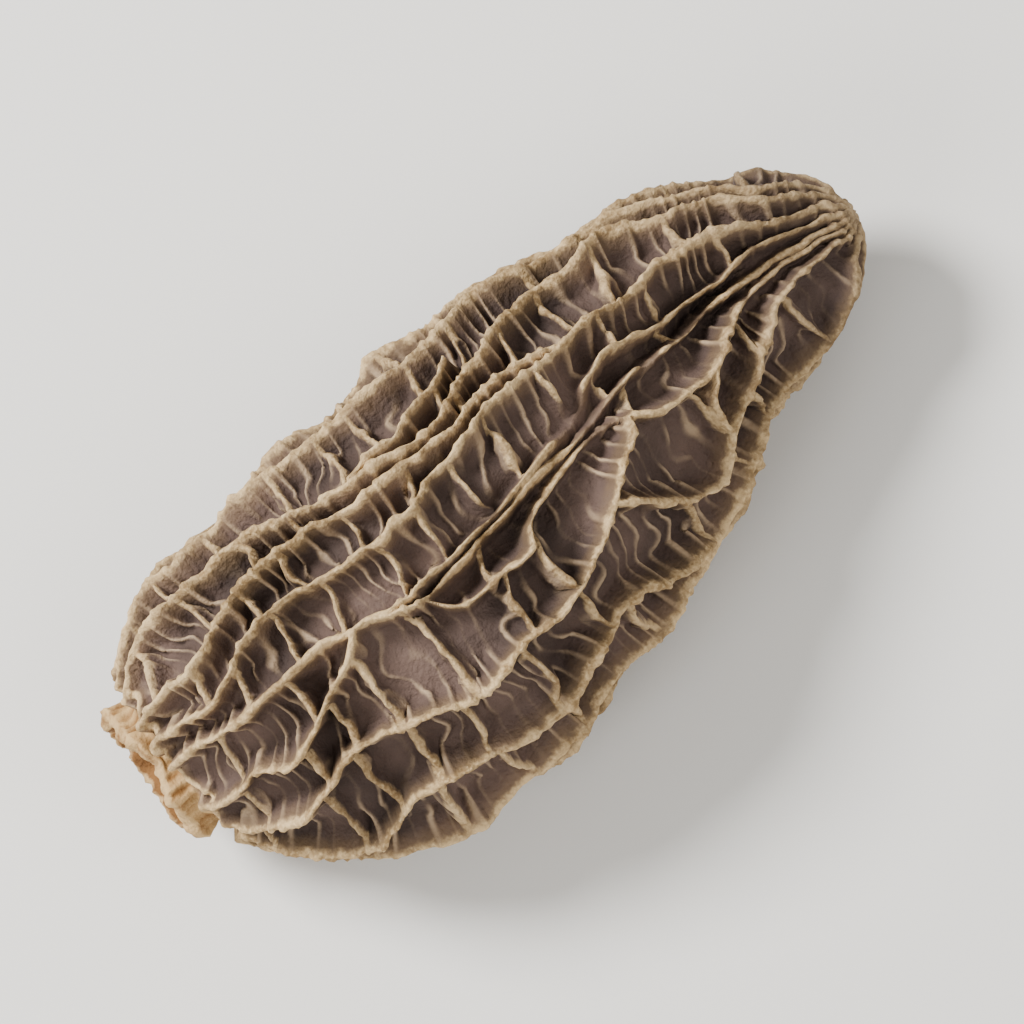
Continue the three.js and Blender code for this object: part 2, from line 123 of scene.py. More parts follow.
# Ribs on the front of the cap, each as [along, across] in millimetres, seen square on. The places across
# are measured from the length's own line at this height.
SEEN_LEVEL = 8.1
FRONT_RIBS = [
    [
        [0.9, -5.1], [4, -6.9], [9, -8.1], [16, -8.4], [22, -8.9], [30, -8.6], [36, -7.0], [40, -5.0],
        [42.88, -1.9],
    ],
    [
        [0.8, -4.2], [4, -6.1], [9, -6.6], [15, -6.0], [20, -5.7], [23, -6.8], [30, -7.4], [36, -6.2],
        [40, -4.2], [42.88, -1.4],
    ],
    [[16, -6.1], [19, -6.7], [22.5, -8.0]],
    [[0.9, -1.8], [4, -3.0], [7, -4.5], [10, -5.1], [16, -5.0], [21, -4.9], [25, -5.3], [27, -4.6]],
    [
        [0.8, -0.5], [4, -1.0], [7, -2.4], [10, -3.0], [14, -2.8], [17.5, -2.7], [20, -3.6], [30, -4.5],
        [36, -4.3], [40, -2.8], [42.88, -1.0],
    ],
    [
        [0.9, 0.9], [8, 0.5], [12, 0.6], [15, 1.0], [19, 0.5], [23, -0.2], [26, -1.6], [29, -2.8],
        [34.5, -2.0], [38, -2.2], [42.88, -0.7],
    ],
    [[13, 0.9], [15.5, 1.9], [19, 1.1], [23, 0.3], [29.5, -0.7], [32.5, 0.1], [37, -0.5], [42.88, -0.5]],
    [[15.5, 1.9], [16.6, 3.8], [20.2, 3.6]],
    [
        [20.2, 3.6], [20.6, 2.7], [23, 1.4], [25.5, 0.6], [27.2, 1.0], [26.4, 2.6], [24.5, 4.3], [22.5, 5.8],
        [20, 6.9], [16, 7.2], [12, 7.0], [8.5, 6.4], [4.5, 7.0], [1.0, 5.0],
    ],
    [[0.8, 3.7], [4, 4.3], [7, 4.0], [10, 2.4], [12, 0.7]],
    [[27.2, 1.0], [29, 2.0], [32.2, 2.1], [35, 0.8], [38, 0.4], [42.88, -0.2]],
    [[32.2, 2.1], [31.2, 3.5], [31, 5.2]],
    [[24.5, 4.3], [26.5, 6.2], [29, 6.8], [31, 5.2], [33.5, 3.7], [37, 1.9], [42.88, 0.1]],
    [
        [1.0, 6.0], [5, 9.3], [10, 9.7], [17, 10.0], [20, 9.1], [23, 8.5], [28, 8.2], [31, 6.8],
        [35, 4.9], [39, 4.2], [41.4, 2.6], [42.88, 0.5],
    ],
    [[1.1, 6.5], [4, 9.6], [9, 11.6], [15, 12.0], [20, 11.1], [24, 9.9], [27, 9.0], [29.6, 7.7]],
]
# How far a crest stands out at the side of the cap, which the widths above include, and the furthest place
# across that is turned into an angle, as a share of the half width.
SILHOUETTE = 1.5
MOST_SIDEWAYS = 0.98

# Ribs by rule round the back, between the outer ribs of the front.
BACK_RIBS = 11
BACK_FROM = FRONT + math.radians(88)
BACK_TO = FRONT + math.radians(272)
BACK_WANDER = [{"size": 0.1, "along": 0.21, "seed": 0}, {"size": 0.07, "along": 0.47, "seed": 40}]
RIBS_FROM = 0.9
RIBS_TO = 42.88
SHORT_RIB_FROM = {"least": 3, "spread": 5}
SHORT_RIB_TO = {"least": 29, "spread": 7}
SHORT_RIB_BEND = 0.15
WANDER_PHASES = 6.3

# Where the seeds of each kind of draw begin.
SEEDS = {"short_from": 80, "short_to": 120, "side": 160, "first_rung": 200, "rungs": 300}
SEEDS_PER_RIB = 10

# The high corner of the solid in the morel's own millimetres: the tip, the far flank and the tallest crest.
OWN_HIGH_CORNER = Vector((43.3, 9.451, 17.6751))

# The edge of the cut stalk: how far it bulges, and how far from it the cut's raggedness reaches.
RIM_ROUNDING = 0.12
RIM_REACH = 0.6

# How finely the skin is sampled before it is thinned, and the most triangles it keeps.
COLUMNS = 640
OUTSIDE_ROWS = 620
RIM_ROWS = 6
INSIDE_ROWS = 90
MOST_TRIANGLES = 194000


def linear(hex_colour):
    """An sRGB hex value as the linear red, green, blue and alpha that nodes take."""
    parts = [int(hex_colour[i : i + 2], 16) / 255 for i in (1, 3, 5)]
    return tuple(c / 12.92 if c <= 0.04045 else ((c + 0.055) / 1.055) ** 2.4 for c in parts) + (1.0,)


def add(tree, kind, inputs=None, **settings):
    """Adds a node with its settings, and fills its sockets, by name or number, with values or links."""
    node = tree.nodes.new(kind)
    for name, value in settings.items():
        setattr(node, name, value)
    for key, value in (inputs or {}).items():
        if isinstance(value, bpy.types.Node):
            value = next(output for output in value.outputs if output.enabled)
        if isinstance(value, bpy.types.NodeSocket):
            tree.links.new(value, node.inputs[key])
        else:
            node.inputs[key].default_value = value
    return node


# The shape of the flesh and the routes of its ridges, in the morel's own millimetres.


def draw(seed):
    """A seeded draw from 0 to 1: the same number for the same seed."""
    x = math.sin(seed * 12.9898 + 4.1414) * 43758.5453
    return x - math.floor(x)


def smoothstep(x, low, high):
    """A soft step from 0 at low to 1 at high."""
    t = np.clip((x - low) / (high - low), 0, 1)
    return t * t * (3 - 2 * t)


def along(pairs, place):
    """The value of a list of [place, value] pairs at each place, on a smooth curve through the pairs."""
    xs, ys = np.array(pairs, float).T
    order = np.arange(len(xs))
    before, after = np.maximum(order - 1, 0), np.minimum(order + 1, len(xs) - 1)
    slopes = (ys[after] - ys[before]) / (xs[after] - xs[before])
    place = np.clip(place, xs[0], xs[-1])
    i = np.clip(np.searchsorted(xs, place) - 1, 0, len(xs) - 2)
    span = xs[i + 1] - xs[i]
    t = (place - xs[i]) / span
    value = (2 * t**3 - 3 * t**2 + 1) * ys[i] + (t**3 - 2 * t**2 + t) * span * slopes[i]
    return value + (3 * t**2 - 2 * t**3) * ys[i + 1] + (t**3 - t**2) * span * slopes[i + 1]


def spline(points, steps, first, last):
    """Points on a smooth curve through the given ones. first and last are the unseen ends that shape it."""
    p = np.vstack([first, points, last])
    t = np.linspace(0, len(points) - 1, steps + 1)
    i = np.minimum(t.astype(int), len(points) - 2)
    f = (t - i)[:, None]
    a, b, c, d = p[i], p[i + 1], p[i + 2], p[i + 3]
    return 0.5 * (2 * b + (c - a) * f + (2 * a - 5 * b + 4 * c - d) * f**2 + (3 * b - a - 3 * c + d) * f**3)


def outline_table(steps=6000):
    """The outline of the flesh from cut to tip: shares of its length, places along, half widths, length."""
    points = np.array(HALF_WIDTH, float)
    curve = spline(points, steps, 2 * points[0] - points[1], 2 * points[-1] - points[-2])
    run = np.concatenate([[0], np.cumsum(np.linalg.norm(np.diff(curve, axis=0), axis=1))])
    return run / run[-1], curve[:, 0], curve[:, 1], float(run[-1])


*OUTLINE, OUTLINE_LENGTH = outline_table()


def outline_at(share):
    """The place along and the half width at each share of the outline, 0 at the cut and 1 at the tip."""
    shares, xs, widths = OUTLINE
    return np.interp(share, shares, xs), np.interp(share, shares, widths)


def share_at(x):
    """The share of the outline's length at each place along the part."""
    shares, xs, _ = OUTLINE
    return np.interp(x, xs, shares)


def seen_angle(x, across):
    """The angle round the length, from +Z towards -Y, of a point seen from the front."""
    half = outline_at(share_at(x))[1] + SILHOUETTE
    rise = along(CENTRE_HEIGHT, x) - SEEN_LEVEL
    middle = along(LEAN, x) * math.cos(FRONT) - rise * math.sin(FRONT)
    return FRONT + np.arcsin(np.clip((across - middle) / half, -MOST_SIDEWAYS, MOST_SIDEWAYS))


def fold_at(x, angle, radius):
    """How far the fold between the two lobes sinks the flesh."""
    route = [[place, float(seen_angle(place, across))] for place, across in FOLD]
    turned = np.arctan2(np.sin(angle - FRONT), np.cos(angle - FRONT)) + FRONT
    off = (turned - along(route, x)) * radius
    reach = smoothstep(x, *FOLD_OPENS) * (1 - smoothstep(x, *FOLD_CLOSES))
    return FOLD_DEPTH * reach * np.exp(-((off / FOLD_HALF_WIDTH) ** 2))


def radius_at(share, angle):
    """The distance of the smooth flesh from the middle of the part, an oval with a few soft dents."""
    x, width = outline_at(share)
    height = width * along(HEIGHT_SHARE, x)
    power = OVAL_POWER - ROUNDER_ABOVE * np.cos(angle)
    sideways = np.abs(np.sin(angle) / np.maximum(width, 1e-3)) ** power
    upright = np.abs(np.cos(angle) / np.maximum(height, 1e-3)) ** power
    dents = sum(d["size"] * np.cos(d["waves"] * angle + d["twist"] * x + d["turn"]) for d in DENTS)
    stalk = 1 - smoothstep(x, MARGIN - PLEATS["fade"], MARGIN)
    pleats = PLEATS["size"] * stalk * np.cos(PLEATS["waves"] * angle + PLEATS["turn"])
    return (sideways + upright) ** (-1 / power) * (1 + dents) + pleats


def flesh(share, angle, folded=True):
    """Points of the smooth flesh, between the ridges. The cut slants, and the stalk is longest underneath."""
    x, width = outline_at(share)
    radius = radius_at(share, angle)
    if folded:
        radius = radius - np.minimum(fold_at(x, angle, width), FOLD_DEEPEST_SHARE * radius)
    stalk = 1 - smoothstep(x, STALK_END, MARGIN)
    cut = CUT_SLANT * np.cos(angle - FRONT) + CUT_WAVES["size"] * np.cos(CUT_WAVES["waves"] * angle)
    y = -along(LEAN, x) - radius * np.sin(angle)
    z = along(CENTRE_HEIGHT, x) + radius * np.cos(angle)
    return np.stack([x + stalk * cut, y, z], axis=-1)


def outward(share, angle):
    """The outward direction there, that of the flesh without its fold, so that no crest leans on another."""
    step, turn = 0.004, 0.02
    ahead, behind = np.minimum(share + step, 1), np.maximum(share - step, 0)
    forwards = flesh(ahead, angle, False) - flesh(behind, angle, False)
    around = flesh(share, angle + turn, False) - flesh(share, angle - turn, False)
    out = np.cross(around, forwards)
    return out / np.maximum(np.linalg.norm(out, axis=-1, keepdims=True), 1e-9)


def front_ribs():
    """The ribs of the front, each as points [place along the part, angle]."""
    ribs = []
    for points in FRONT_RIBS:
        knots = np.array([[x, float(seen_angle(x, across))] for x, across in points])
        ribs.append(spline(knots, len(points) * ROUTE_PARTS, knots[0], knots[-1]))
    return ribs


def back_ribs(steps=160):
    """The ribs of the back. Every second one is short, and each of its ends bends into a neighbour."""
    part = np.linspace(0, 1, steps + 1)

    def course(k, x):
        phases = [WANDER_PHASES * draw(k + wave["seed"]) for wave in BACK_WANDER]
        waves = [w["size"] * np.sin(w["along"] * x + phase) for w, phase in zip(BACK_WANDER, phases)]
        return BACK_FROM + (BACK_TO - BACK_FROM) * (k + 0.5) / BACK_RIBS + sum(waves)

    def drawn(span, seed):
        return span["least"] + span["spread"] * draw(seed)

    ribs = []
    for k in range(BACK_RIBS):
        short = k % 2 == 1
        start = drawn(SHORT_RIB_FROM, k + SEEDS["short_from"]) if short else RIBS_FROM
        end = drawn(SHORT_RIB_TO, k + SEEDS["short_to"]) if short else RIBS_TO
        side = -1 if draw(k + SEEDS["side"]) < 0.5 else 1
        x = start + (end - start) * part
        to_end = np.minimum(part, 1 - part)
        bend = np.maximum(1 - to_end / SHORT_RIB_BEND, 0) ** 1.5 if short else 0
        own = course(k, x)
        ribs.append(np.stack([x, own + (course(k + side, x) - own) * bend], axis=-1))
    return ribs


def crossing(rib, x):
    """The angle at which a rib crosses a place along the part, or None."""
    a, b = rib[:-1], rib[1:]
    hits = np.nonzero(((a[:, 0] - x) * (b[:, 0] - x) <= 0) & (a[:, 0] != b[:, 0]))[0]
    if not len(hits):
        return None
    (ax, aa), (bx, ba) = a[hits[0]], b[hits[0]]
    return aa + (ba - aa) * (x - ax) / (bx - ax)


def turn_to_next_rib(ribs, own, x, angle):
    """How far round the next rib lies past an angle."""
    found = [crossing(rib, x) for k, rib in enumerate(ribs) if k != own]
    turns = [(there - angle) % (2 * math.pi) for there in found if there is not None]
    return min(turn for turn in turns if turn > LEAST_TURN)


def rungs(ribs):
    """Cross ridges, like the rungs of a ladder, from each rib to the next, as (route, height)."""
    found = []
    t = np.linspace(0, 1, ROUTE_PARTS + 1)[:, None]
    for k, rib in enumerate(ribs):
        end = rib[:, 0].max() - RUNG_FREE_ENDS
        x = rib[:, 0].min() + RUNG_FREE_ENDS + FIRST_RUNG_SPREAD * draw(k + SEEDS["first_rung"])
        seed = SEEDS_PER_RIB * k + SEEDS["rungs"]
        while x < end:
            slant = RUNG_SLANT * (draw(seed) - 0.5)
            bow = draw(seed + 0.5) - 0.5
            angle = crossing(rib, x)
            turn = turn_to_next_rib(ribs, k, x + slant, angle)
            if RUNG_GAP["least"] < turn * outline_at(share_at(x))[1] < RUNG_GAP["most"]:
                a = np.array([x, angle])
                b = np.array([x + slant / 2 + bow, angle + turn / 2])
                c = np.array([x + slant, angle + turn])
                height = RUNG_HEIGHT["least"] + RUNG_HEIGHT["spread"] * draw(seed + 0.3)
                found.append(((1 - t) ** 2 * a + 2 * t * (1 - t) * b + t**2 * c, height))
            x += RUNG_STEP["least"] + RUNG_STEP["spread"] * draw(seed + 0.7)
            seed += 1
    return found


def margin_lip(steps=240):
    """The wavy lip where the cap ends over the stalk."""
    angle = np.linspace(0, 2 * math.pi, steps + 1)
    waves = sum(w["size"] * np.sin(w["waves"] * angle + w["turn"]) for w in LIP_WAVES)
    return np.stack([MARGIN + LIP_OUT + waves, angle], axis=-1)


def ridge_share(x, angle):
    """How tall the ridges stand at a place: low at the margin and at the tip, and a little uneven between."""
    grown = smoothstep(x, 0, LOW_AT_MARGIN["grown_at"])
    margin = LOW_AT_MARGIN["share"] + (1 - LOW_AT_MARGIN["share"]) * grown
    tip = 1 - (1 - LOW_AT_TIP["share"]) * smoothstep(x, LOW_AT_TIP["from"], LOW_AT_TIP["to"])
    return margin * tip * (1 + UNEVEN["size"] * np.sin(UNEVEN["along"] * x + UNEVEN["waves"] * angle))


def ridge_families():
    """The three kinds of ridge, each as a list of (route, height of its crest)."""
    ribs = front_ribs() + back_ribs()
    return [[(rib, RIB_HEIGHT) for rib in ribs], rungs(ribs), [(margin_lip(), LIP_HEIGHT)]]


# Meshes that the geometry tree starts from, in metres and in the frame's place.


def placed(points):
    """Points of the morel's own millimetres as metres in the frame."""
    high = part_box(CAD_NODE)[1]
    return np.asarray(points) * MM + np.array(high - OWN_HIGH_CORNER * MM)


def store(mesh, name, values, kind="FLOAT"):
    """Keeps a value or a vector for each vertex under a name."""
    attribute = mesh.attributes.new(name, kind, "POINT")
    field = "vector" if kind == "FLOAT_VECTOR" else "value"
    attribute.data.foreach_set(field, np.asarray(values, np.float32).ravel())


def link(name, mesh):
    """A new object of a mesh, in the scene."""
    piece = bpy.data.objects.new(name, mesh)
    bpy.context.scene.collection.objects.link(piece)
    return piece


def ridge_lines(step=0.06):
    """An object whose edges run along every ridge, with the kind and height of each and the way across it."""
    points, edges, kinds, heights, across = [], [], [], [], []
    for kind, family in enumerate(ridge_families()):
        for route, height in family:
            feet = flesh(share_at(route[:, 0]), route[:, 1])
            run = np.concatenate([[0], np.cumsum(np.linalg.norm(np.diff(feet, axis=0), axis=1))])
            even = np.linspace(0, run[-1], max(int(run[-1] / step), 2))
            x, angle = np.interp(even, run, route[:, 0]), np.interp(even, run, route[:, 1])
            line = flesh(share_at(x), angle)
            sideways = np.cross(np.gradient(line, axis=0), outward(share_at(x), angle))
            sideways /= np.maximum(np.linalg.norm(sideways, axis=1, keepdims=True), 1e-9)
            first = len(points)
            points.extend(line)
            edges.extend((first + i, first + i + 1) for i in range(len(line) - 1))
            kinds.extend([kind] * len(line))
            heights.extend([height * MM] * len(line))
            across.extend(sideways)
    mesh = bpy.data.meshes.new("ridge_lines")
    mesh.from_pydata(placed(points).tolist(), edges, [])
    mesh.attributes.new("kind", "INT", "POINT").data.foreach_set("value", np.array(kinds, np.int32))
    store(mesh, "height", heights)
    store(mesh, "across", across, "FLOAT_VECTOR")
    return link("ridge_lines", mesh)


def skin_row(points, out, share, **known):
    """One row round the skin: its points, outward directions, and what is known of each point."""
    x = outline_at(share)[0]
    row = {"run": share * OUTLINE_LENGTH * MM, "rise": 0, "crease": 0, "stalk": 0, "inside": 0, "rim": 0}
    row.update(known)
    row["rim"] = row["rim"] or 1 - smoothstep(x, STALK_END, STALK_END + RIM_REACH)
    return points, out, {name: np.broadcast_to(value, COLUMNS) for name, value in row.items()}


def skin_rows():
    """Rows round the closed skin from the tip to the cut, over its edge and back along the hollow."""
    angle = np.linspace(0, 2 * math.pi, COLUMNS, endpoint=False)
    rows = []
    for share in np.linspace(1, 0, OUTSIDE_ROWS + 1)[1:]:
        x, width = outline_at(share)
        stalk = 1 - smoothstep(x, MARGIN - MARGIN_SOFT, MARGIN + MARGIN_SOFT)
        known = {"rise": ridge_share(x, angle) * (1 - stalk), "stalk": stalk}
        known["crease"] = fold_at(x, angle, width) / FOLD_DEPTH
        rows.append(skin_row(flesh(share, angle), outward(share, angle), share, **known))
    outer, out = rows[-1][:2]
    inner = outer - WALL * outward(0, angle)
    for t in np.linspace(0, 1, RIM_ROWS + 1)[1:-1]:
        rounded = np.array([-RIM_ROUNDING * math.sin(math.pi * t), 0, 0])
        rows.append(skin_row(outer + (inner - outer) * t + rounded, out, 0, stalk=1, inside=t))
    for share in np.linspace(0, share_at(HOLLOW_TO), INSIDE_ROWS + 1):
        wall = flesh(share, angle) - WALL * outward(share, angle)
        stalk = 1 - smoothstep(outline_at(share)[0], MARGIN, MARGIN + STALK_LINING)
        rows.append(skin_row(wall, outward(share, angle), share, stalk=stalk, inside=1))
    return rows


def skin():
    """The closed skin of the smooth flesh, with what the geometry tree and the material need to know."""
    rows = skin_rows()
    in_hollow = {"run": 0, "rise": 0, "crease": 0, "stalk": 0, "inside": 1, "rim": 0}
    at_tip = {**in_hollow, "run": OUTLINE_LENGTH * MM, "rise": LOW_AT_TIP["share"], "inside": 0}
    points = np.concatenate([row[0] for row in rows] + [[flesh(1, 0)], [HOLLOW_TIP]])
    out = np.concatenate([row[1] for row in rows] + [[[1, 0, 0]], [[1, 0, 0]]])
    first = np.arange((len(rows) - 1) * COLUMNS).reshape(-1, COLUMNS)
    beside = np.roll(first, -1, axis=1)
    quads = np.stack([first, first + COLUMNS, beside + COLUMNS, beside], axis=-1).reshape(-1, 4)
    count, last = len(points), (len(rows) - 1) * COLUMNS
    fans = [[count - 2, k, (k + 1) % COLUMNS] for k in range(COLUMNS)]
    fans += [[count - 1, last + (k + 1) % COLUMNS, last + k] for k in range(COLUMNS)]
    mesh = bpy.data.meshes.new("skin")
    mesh.from_pydata(placed(points).tolist(), [], quads.tolist() + fans)
    mesh.shade_smooth()
    store(mesh, "out", out, "FLOAT_VECTOR")
    for name in at_tip:
        values = [row[2][name] for row in rows]
        store(mesh, name, np.concatenate(values + [[at_tip[name], in_hollow[name]]]))
    return link("skin", mesh)


# The geometry tree that raises the ridges and wrinkles the skin.

MATH = "ShaderNodeMath"
VECTOR_MATH = "ShaderNodeVectorMath"
NOISE = "ShaderNodeTexNoise"
RANGE = "ShaderNodeMapRange"
MIX = "ShaderNodeMix"
STORED = "GeometryNodeInputNamedAttribute"

# The kinds of ridge, in the order in which ridge_families lists them.
RIBS, RUNGS, LIP = 0, 1, 2

# How a ridge falls from its crest to its foot, as [share of its reach, share of its height].
BLADE = [[0, 1], [0.09, 0.97], [0.16, 0.82], [0.24, 0.52], [0.34, 0.27], [0.49, 0.12], [0.72, 0.03], [1, 0]]

# How deep the notches in the crests go, and how far their thickness changes, as shares.
NOTCHES = {RIBS: 0.6, RUNGS: 0.9, LIP: 0.9}
THICKNESS_CHANGE = 1.1

# How far apart the swings of each irregular change lie, in millimetres.
WAVELENGTHS = {
    "course": 4.5, "kinks": 1.5, "thickness": 2.3, "notches": 1.6, "lean": 6.0, "dents": 4.5,
    "crinkles": 0.6, "fading": 1.7, "fibres": 0.5, "tears": 1.1,
}
# How far the fibres of the stalk are drawn out along it, as the share of a swing that is left.
DRAWN_OUT = 0.12
# Over how many millimetres ridges melt into each other, and the flattened crests into the resting plane.
SOFT_JOIN = 0.12
SOFT_PRESS = 0.12

# How the thin folds stray, as [wavelength in millimetres, folds astray].
FOLD_WARPS = [[1.3, 1.0], [3.2, 2.4], [8.0, 5.0]]
# The folds as (value from, value to, share of their height at the first, share at the second): their section
# on the way to the next, where they fade by a swing, and how they weaken up the crests, away from a rib's
# line in metres, and down the deep crease.
FOLD_SECTION = (0.05, 0.27, 1.0, 0.0)
FOLD_FADES = (-0.12, 0.1, 0.1, 1.0)
FOLDS_UP_CRESTS = (0.4, 0.9, 1.0, 0.35)
FOLDS_FROM_RIBS = (0.5 * MM, 2.2 * MM, 1.5, 0.6)
FOLDS_DOWN_CREASE = (0.25, 0.7, 1.0, 0.15)


def over(value, span):
    """What a range node takes: a value and its span, as (from, to, result at the first, at the second)."""
    return dict(enumerate((value, *span)))


def swing(tree, place, wavelength, detail=0.0):
    """A smooth noise of a wavelength in millimetres, as a number that swings evenly about 0."""
    scale = add(tree, MATH, {0: 1.0, 1: wavelength * MM}, operation="DIVIDE")
    noise = add(tree, NOISE, {"Vector": place, "Scale": scale, "Detail": detail})
    return add(tree, MATH, {0: noise, 1: 0.5}, operation="SUBTRACT")


def tangent_wander(tree, place, out, wavelength, reach):
    """A place moved along the skin by a smooth noise of a wavelength in millimetres."""
    scale = add(tree, MATH, {0: 1.0, 1: wavelength * MM}, operation="DIVIDE")
    noise = add(tree, NOISE, {"Vector": place, "Scale": scale, "Detail": 1.0})
    centred = add(tree, VECTOR_MATH, {0: noise.outputs["Color"], 1: (0.5, 0.5, 0.5)}, operation="SUBTRACT")
    sideways = add(tree, VECTOR_MATH, {0: out, 1: centred}, operation="CROSS_PRODUCT")
    moved = add(tree, VECTOR_MATH, {0: sideways, "Scale": reach}, operation="SCALE")
    return add(tree, VECTOR_MATH, {0: place, 1: moved}, operation="ADD")


def blade_curve(tree, distance, reach):
    """The share of its height that a ridge has at a distance from its line."""
    part = add(tree, MATH, {0: distance, 1: reach}, operation="DIVIDE", use_clamp=True)
    curve = add(tree, "ShaderNodeFloatCurve", {"Value": part})
    points = curve.mapping.curves[0].points
    points[0].location, points[1].location = BLADE[0], BLADE[-1]
    for place in BLADE[1:-1]:
        points.new(*place)
    curve.mapping.update()
    return curve


def nearest_on_lines(tree, lines, kind, place):
    """The nearest line of one kind of ridge: how near it is, its own height and the way across it."""
    kinds = add(tree, STORED, {"Name": "kind"}, data_type="INT")
    chosen = add(tree, "FunctionNodeCompare", {2: kinds, 3: kind}, data_type="INT", operation="EQUAL")
    family = add(tree, "GeometryNodeSeparateGeometry", {0: lines, 1: chosen})
    near = add(tree, "GeometryNodeProximity", {0: family, "Sample Position": place}, target_element="EDGES")
    index = add(tree, "GeometryNodeSampleNearest", {0: family, 1: place})
    heights = add(tree, STORED, {"Name": "height"}, data_type="FLOAT")
    height = add(tree, "GeometryNodeSampleIndex", {0: family, 1: heights, 2: index})
    ways = add(tree, STORED, {"Name": "across"}, data_type="FLOAT_VECTOR")
    across = add(tree, "GeometryNodeSampleIndex", {0: family, 1: ways, 2: index}, data_type="FLOAT_VECTOR")
    return near, height, across


def ridge_family(tree, lines, kind, place, reach):
    """One kind of ridge at a place: how high it stands there, the share of its height, and its line."""
    near, height, across = nearest_on_lines(tree, lines, kind, place)
    nearest = near.outputs["Position"]
    thick = swing(tree, nearest, WAVELENGTHS["thickness"], 1.0)
    thick = add(tree, MATH, {0: thick, 1: THICKNESS_CHANGE, 2: 1.0}, operation="MULTIPLY_ADD")
    spread = add(tree, MATH, {0: thick, 1: reach}, operation="MULTIPLY")
    blade = blade_curve(tree, near.outputs["Distance"], spread)
    notches = swing(tree, nearest, WAVELENGTHS["notches"], 3.0)
    crest = add(tree, MATH, {0: notches, 1: NOTCHES[kind], 2: 1.0}, operation="MULTIPLY_ADD")
    tall = add(tree, MATH, {0: height, 1: crest}, operation="MULTIPLY")
    raised = add(tree, MATH, {0: tall, 1: blade}, operation="MULTIPLY")
    return {"raised": raised, "blade": blade, "near": near, "across": across}


def ridge_net(tree, given, place, out):
    """The net: ribs, rungs and the lip, each a blade of its own height, joined softly where they meet."""
    lines = add(tree, "GeometryNodeObjectInfo", {0: given["Ridge lines"]}).outputs["Geometry"]
    place = tangent_wander(tree, place, out, WAVELENGTHS["course"], given["Crest wander"])
    place = tangent_wander(tree, place, out, WAVELENGTHS["kinks"], given["Crest kinks"])
    ribs = ridge_family(tree, lines, RIBS, place, given["Rib reach"])
    between = ridge_family(tree, lines, RUNGS, place, given["Rung reach"])
    lip = ridge_family(tree, lines, LIP, place, given["Lip reach"])
    height = ribs["raised"]
    for other in (between, lip):
        height = add(tree, MATH, {0: height, 1: other["raised"], 2: SOFT_JOIN * MM}, operation="SMOOTH_MAX")
    main = add(tree, MATH, {0: ribs["blade"], 1: lip["blade"]}, operation="MAXIMUM")
    crest = add(tree, MATH, {0: main, 1: between["blade"]}, operation="MAXIMUM")
    return {"height": height, "main": main, "crest": crest, "ribs": ribs, "rungs": between}


def outward_move(tree, given, place, known, net):
    """How far each point moves out: the net, less the sag of the pit floors, and the soft dents of drying."""
    floor = add(tree, MATH, {0: 1.0, 1: net["crest"]}, operation="SUBTRACT")
    sag = add(tree, MATH, {0: floor, 1: given["Floor sag"]}, operation="MULTIPLY")
    height = add(tree, MATH, {0: net["height"], 1: sag}, operation="SUBTRACT")
    height = add(tree, MATH, {0: height, 1: known["rise"]}, operation="MULTIPLY")
    soft = swing(tree, place, WAVELENGTHS["dents"], 1.0)
    shrunk = add(tree, MATH, {0: soft, 1: given["Shrivel depth"]}, operation="MULTIPLY")
    shrunk = add(tree, MATH, {0: shrunk, 1: known["outside"]}, operation="MULTIPLY")
    return add(tree, MATH, {0: height, 1: shrunk}, operation="ADD")


def leaning_move(tree, given, known, net):
    """How far the crest of a rib bends over, and to which side."""
    ribs = net["ribs"]
    upright = add(tree, MATH, {0: ribs["blade"], 1: known["rise"]}, operation="MULTIPLY")
    lean = swing(tree, ribs["near"].outputs["Position"], WAVELENGTHS["lean"])
    lean = add(tree, MATH, {0: lean, 1: given["Crest lean"]}, operation="MULTIPLY")
    lean = add(tree, MATH, {0: lean, 1: upright}, operation="MULTIPLY")
    return add(tree, VECTOR_MATH, {0: ribs["across"], "Scale": lean}, operation="SCALE")


def ladder(tree, place, spacing):
    """Where the folds lie: a number that grows by 1 from one to the next, like the rungs of a ladder."""
    run = add(tree, STORED, {"Name": "run"}, data_type="FLOAT")
    count = add(tree, MATH, {0: run, 1: spacing}, operation="DIVIDE")
    for wavelength, strength in FOLD_WARPS:
        strayed = {0: swing(tree, place, wavelength), 1: strength, 2: count}
        count = add(tree, MATH, strayed, operation="MULTIPLY_ADD")
    return count


def fold_share(tree, place, count):
    """How high a fold stands, from 0 between the folds to 1 on top. Some fade out."""
    off = add(tree, MATH, {0: count, 1: 0.5}, operation="PINGPONG")
    top = add(tree, RANGE, over(off, FOLD_SECTION), interpolation_type="SMOOTHSTEP")
    faded = add(tree, RANGE, over(swing(tree, place, WAVELENGTHS["fading"]), FOLD_FADES))
    return add(tree, MATH, {0: top, 1: faded}, operation="MULTIPLY")


def cap_folds(tree, place, count, known, net):
    """The thin folds that cross the pits of the cap, as shares of their height."""
    limits = (
        add(tree, RANGE, over(net["crest"], FOLDS_UP_CRESTS)),
        add(tree, RANGE, over(net["ribs"]["near"].outputs["Distance"], FOLDS_FROM_RIBS)),
        add(tree, RANGE, over(known["crease"], FOLDS_DOWN_CREASE)),
        known["cap"],
    )
    folds = fold_share(tree, place, count)
    for share in limits:
        folds = add(tree, MATH, {0: folds, 1: share}, operation="MULTIPLY")
    return folds


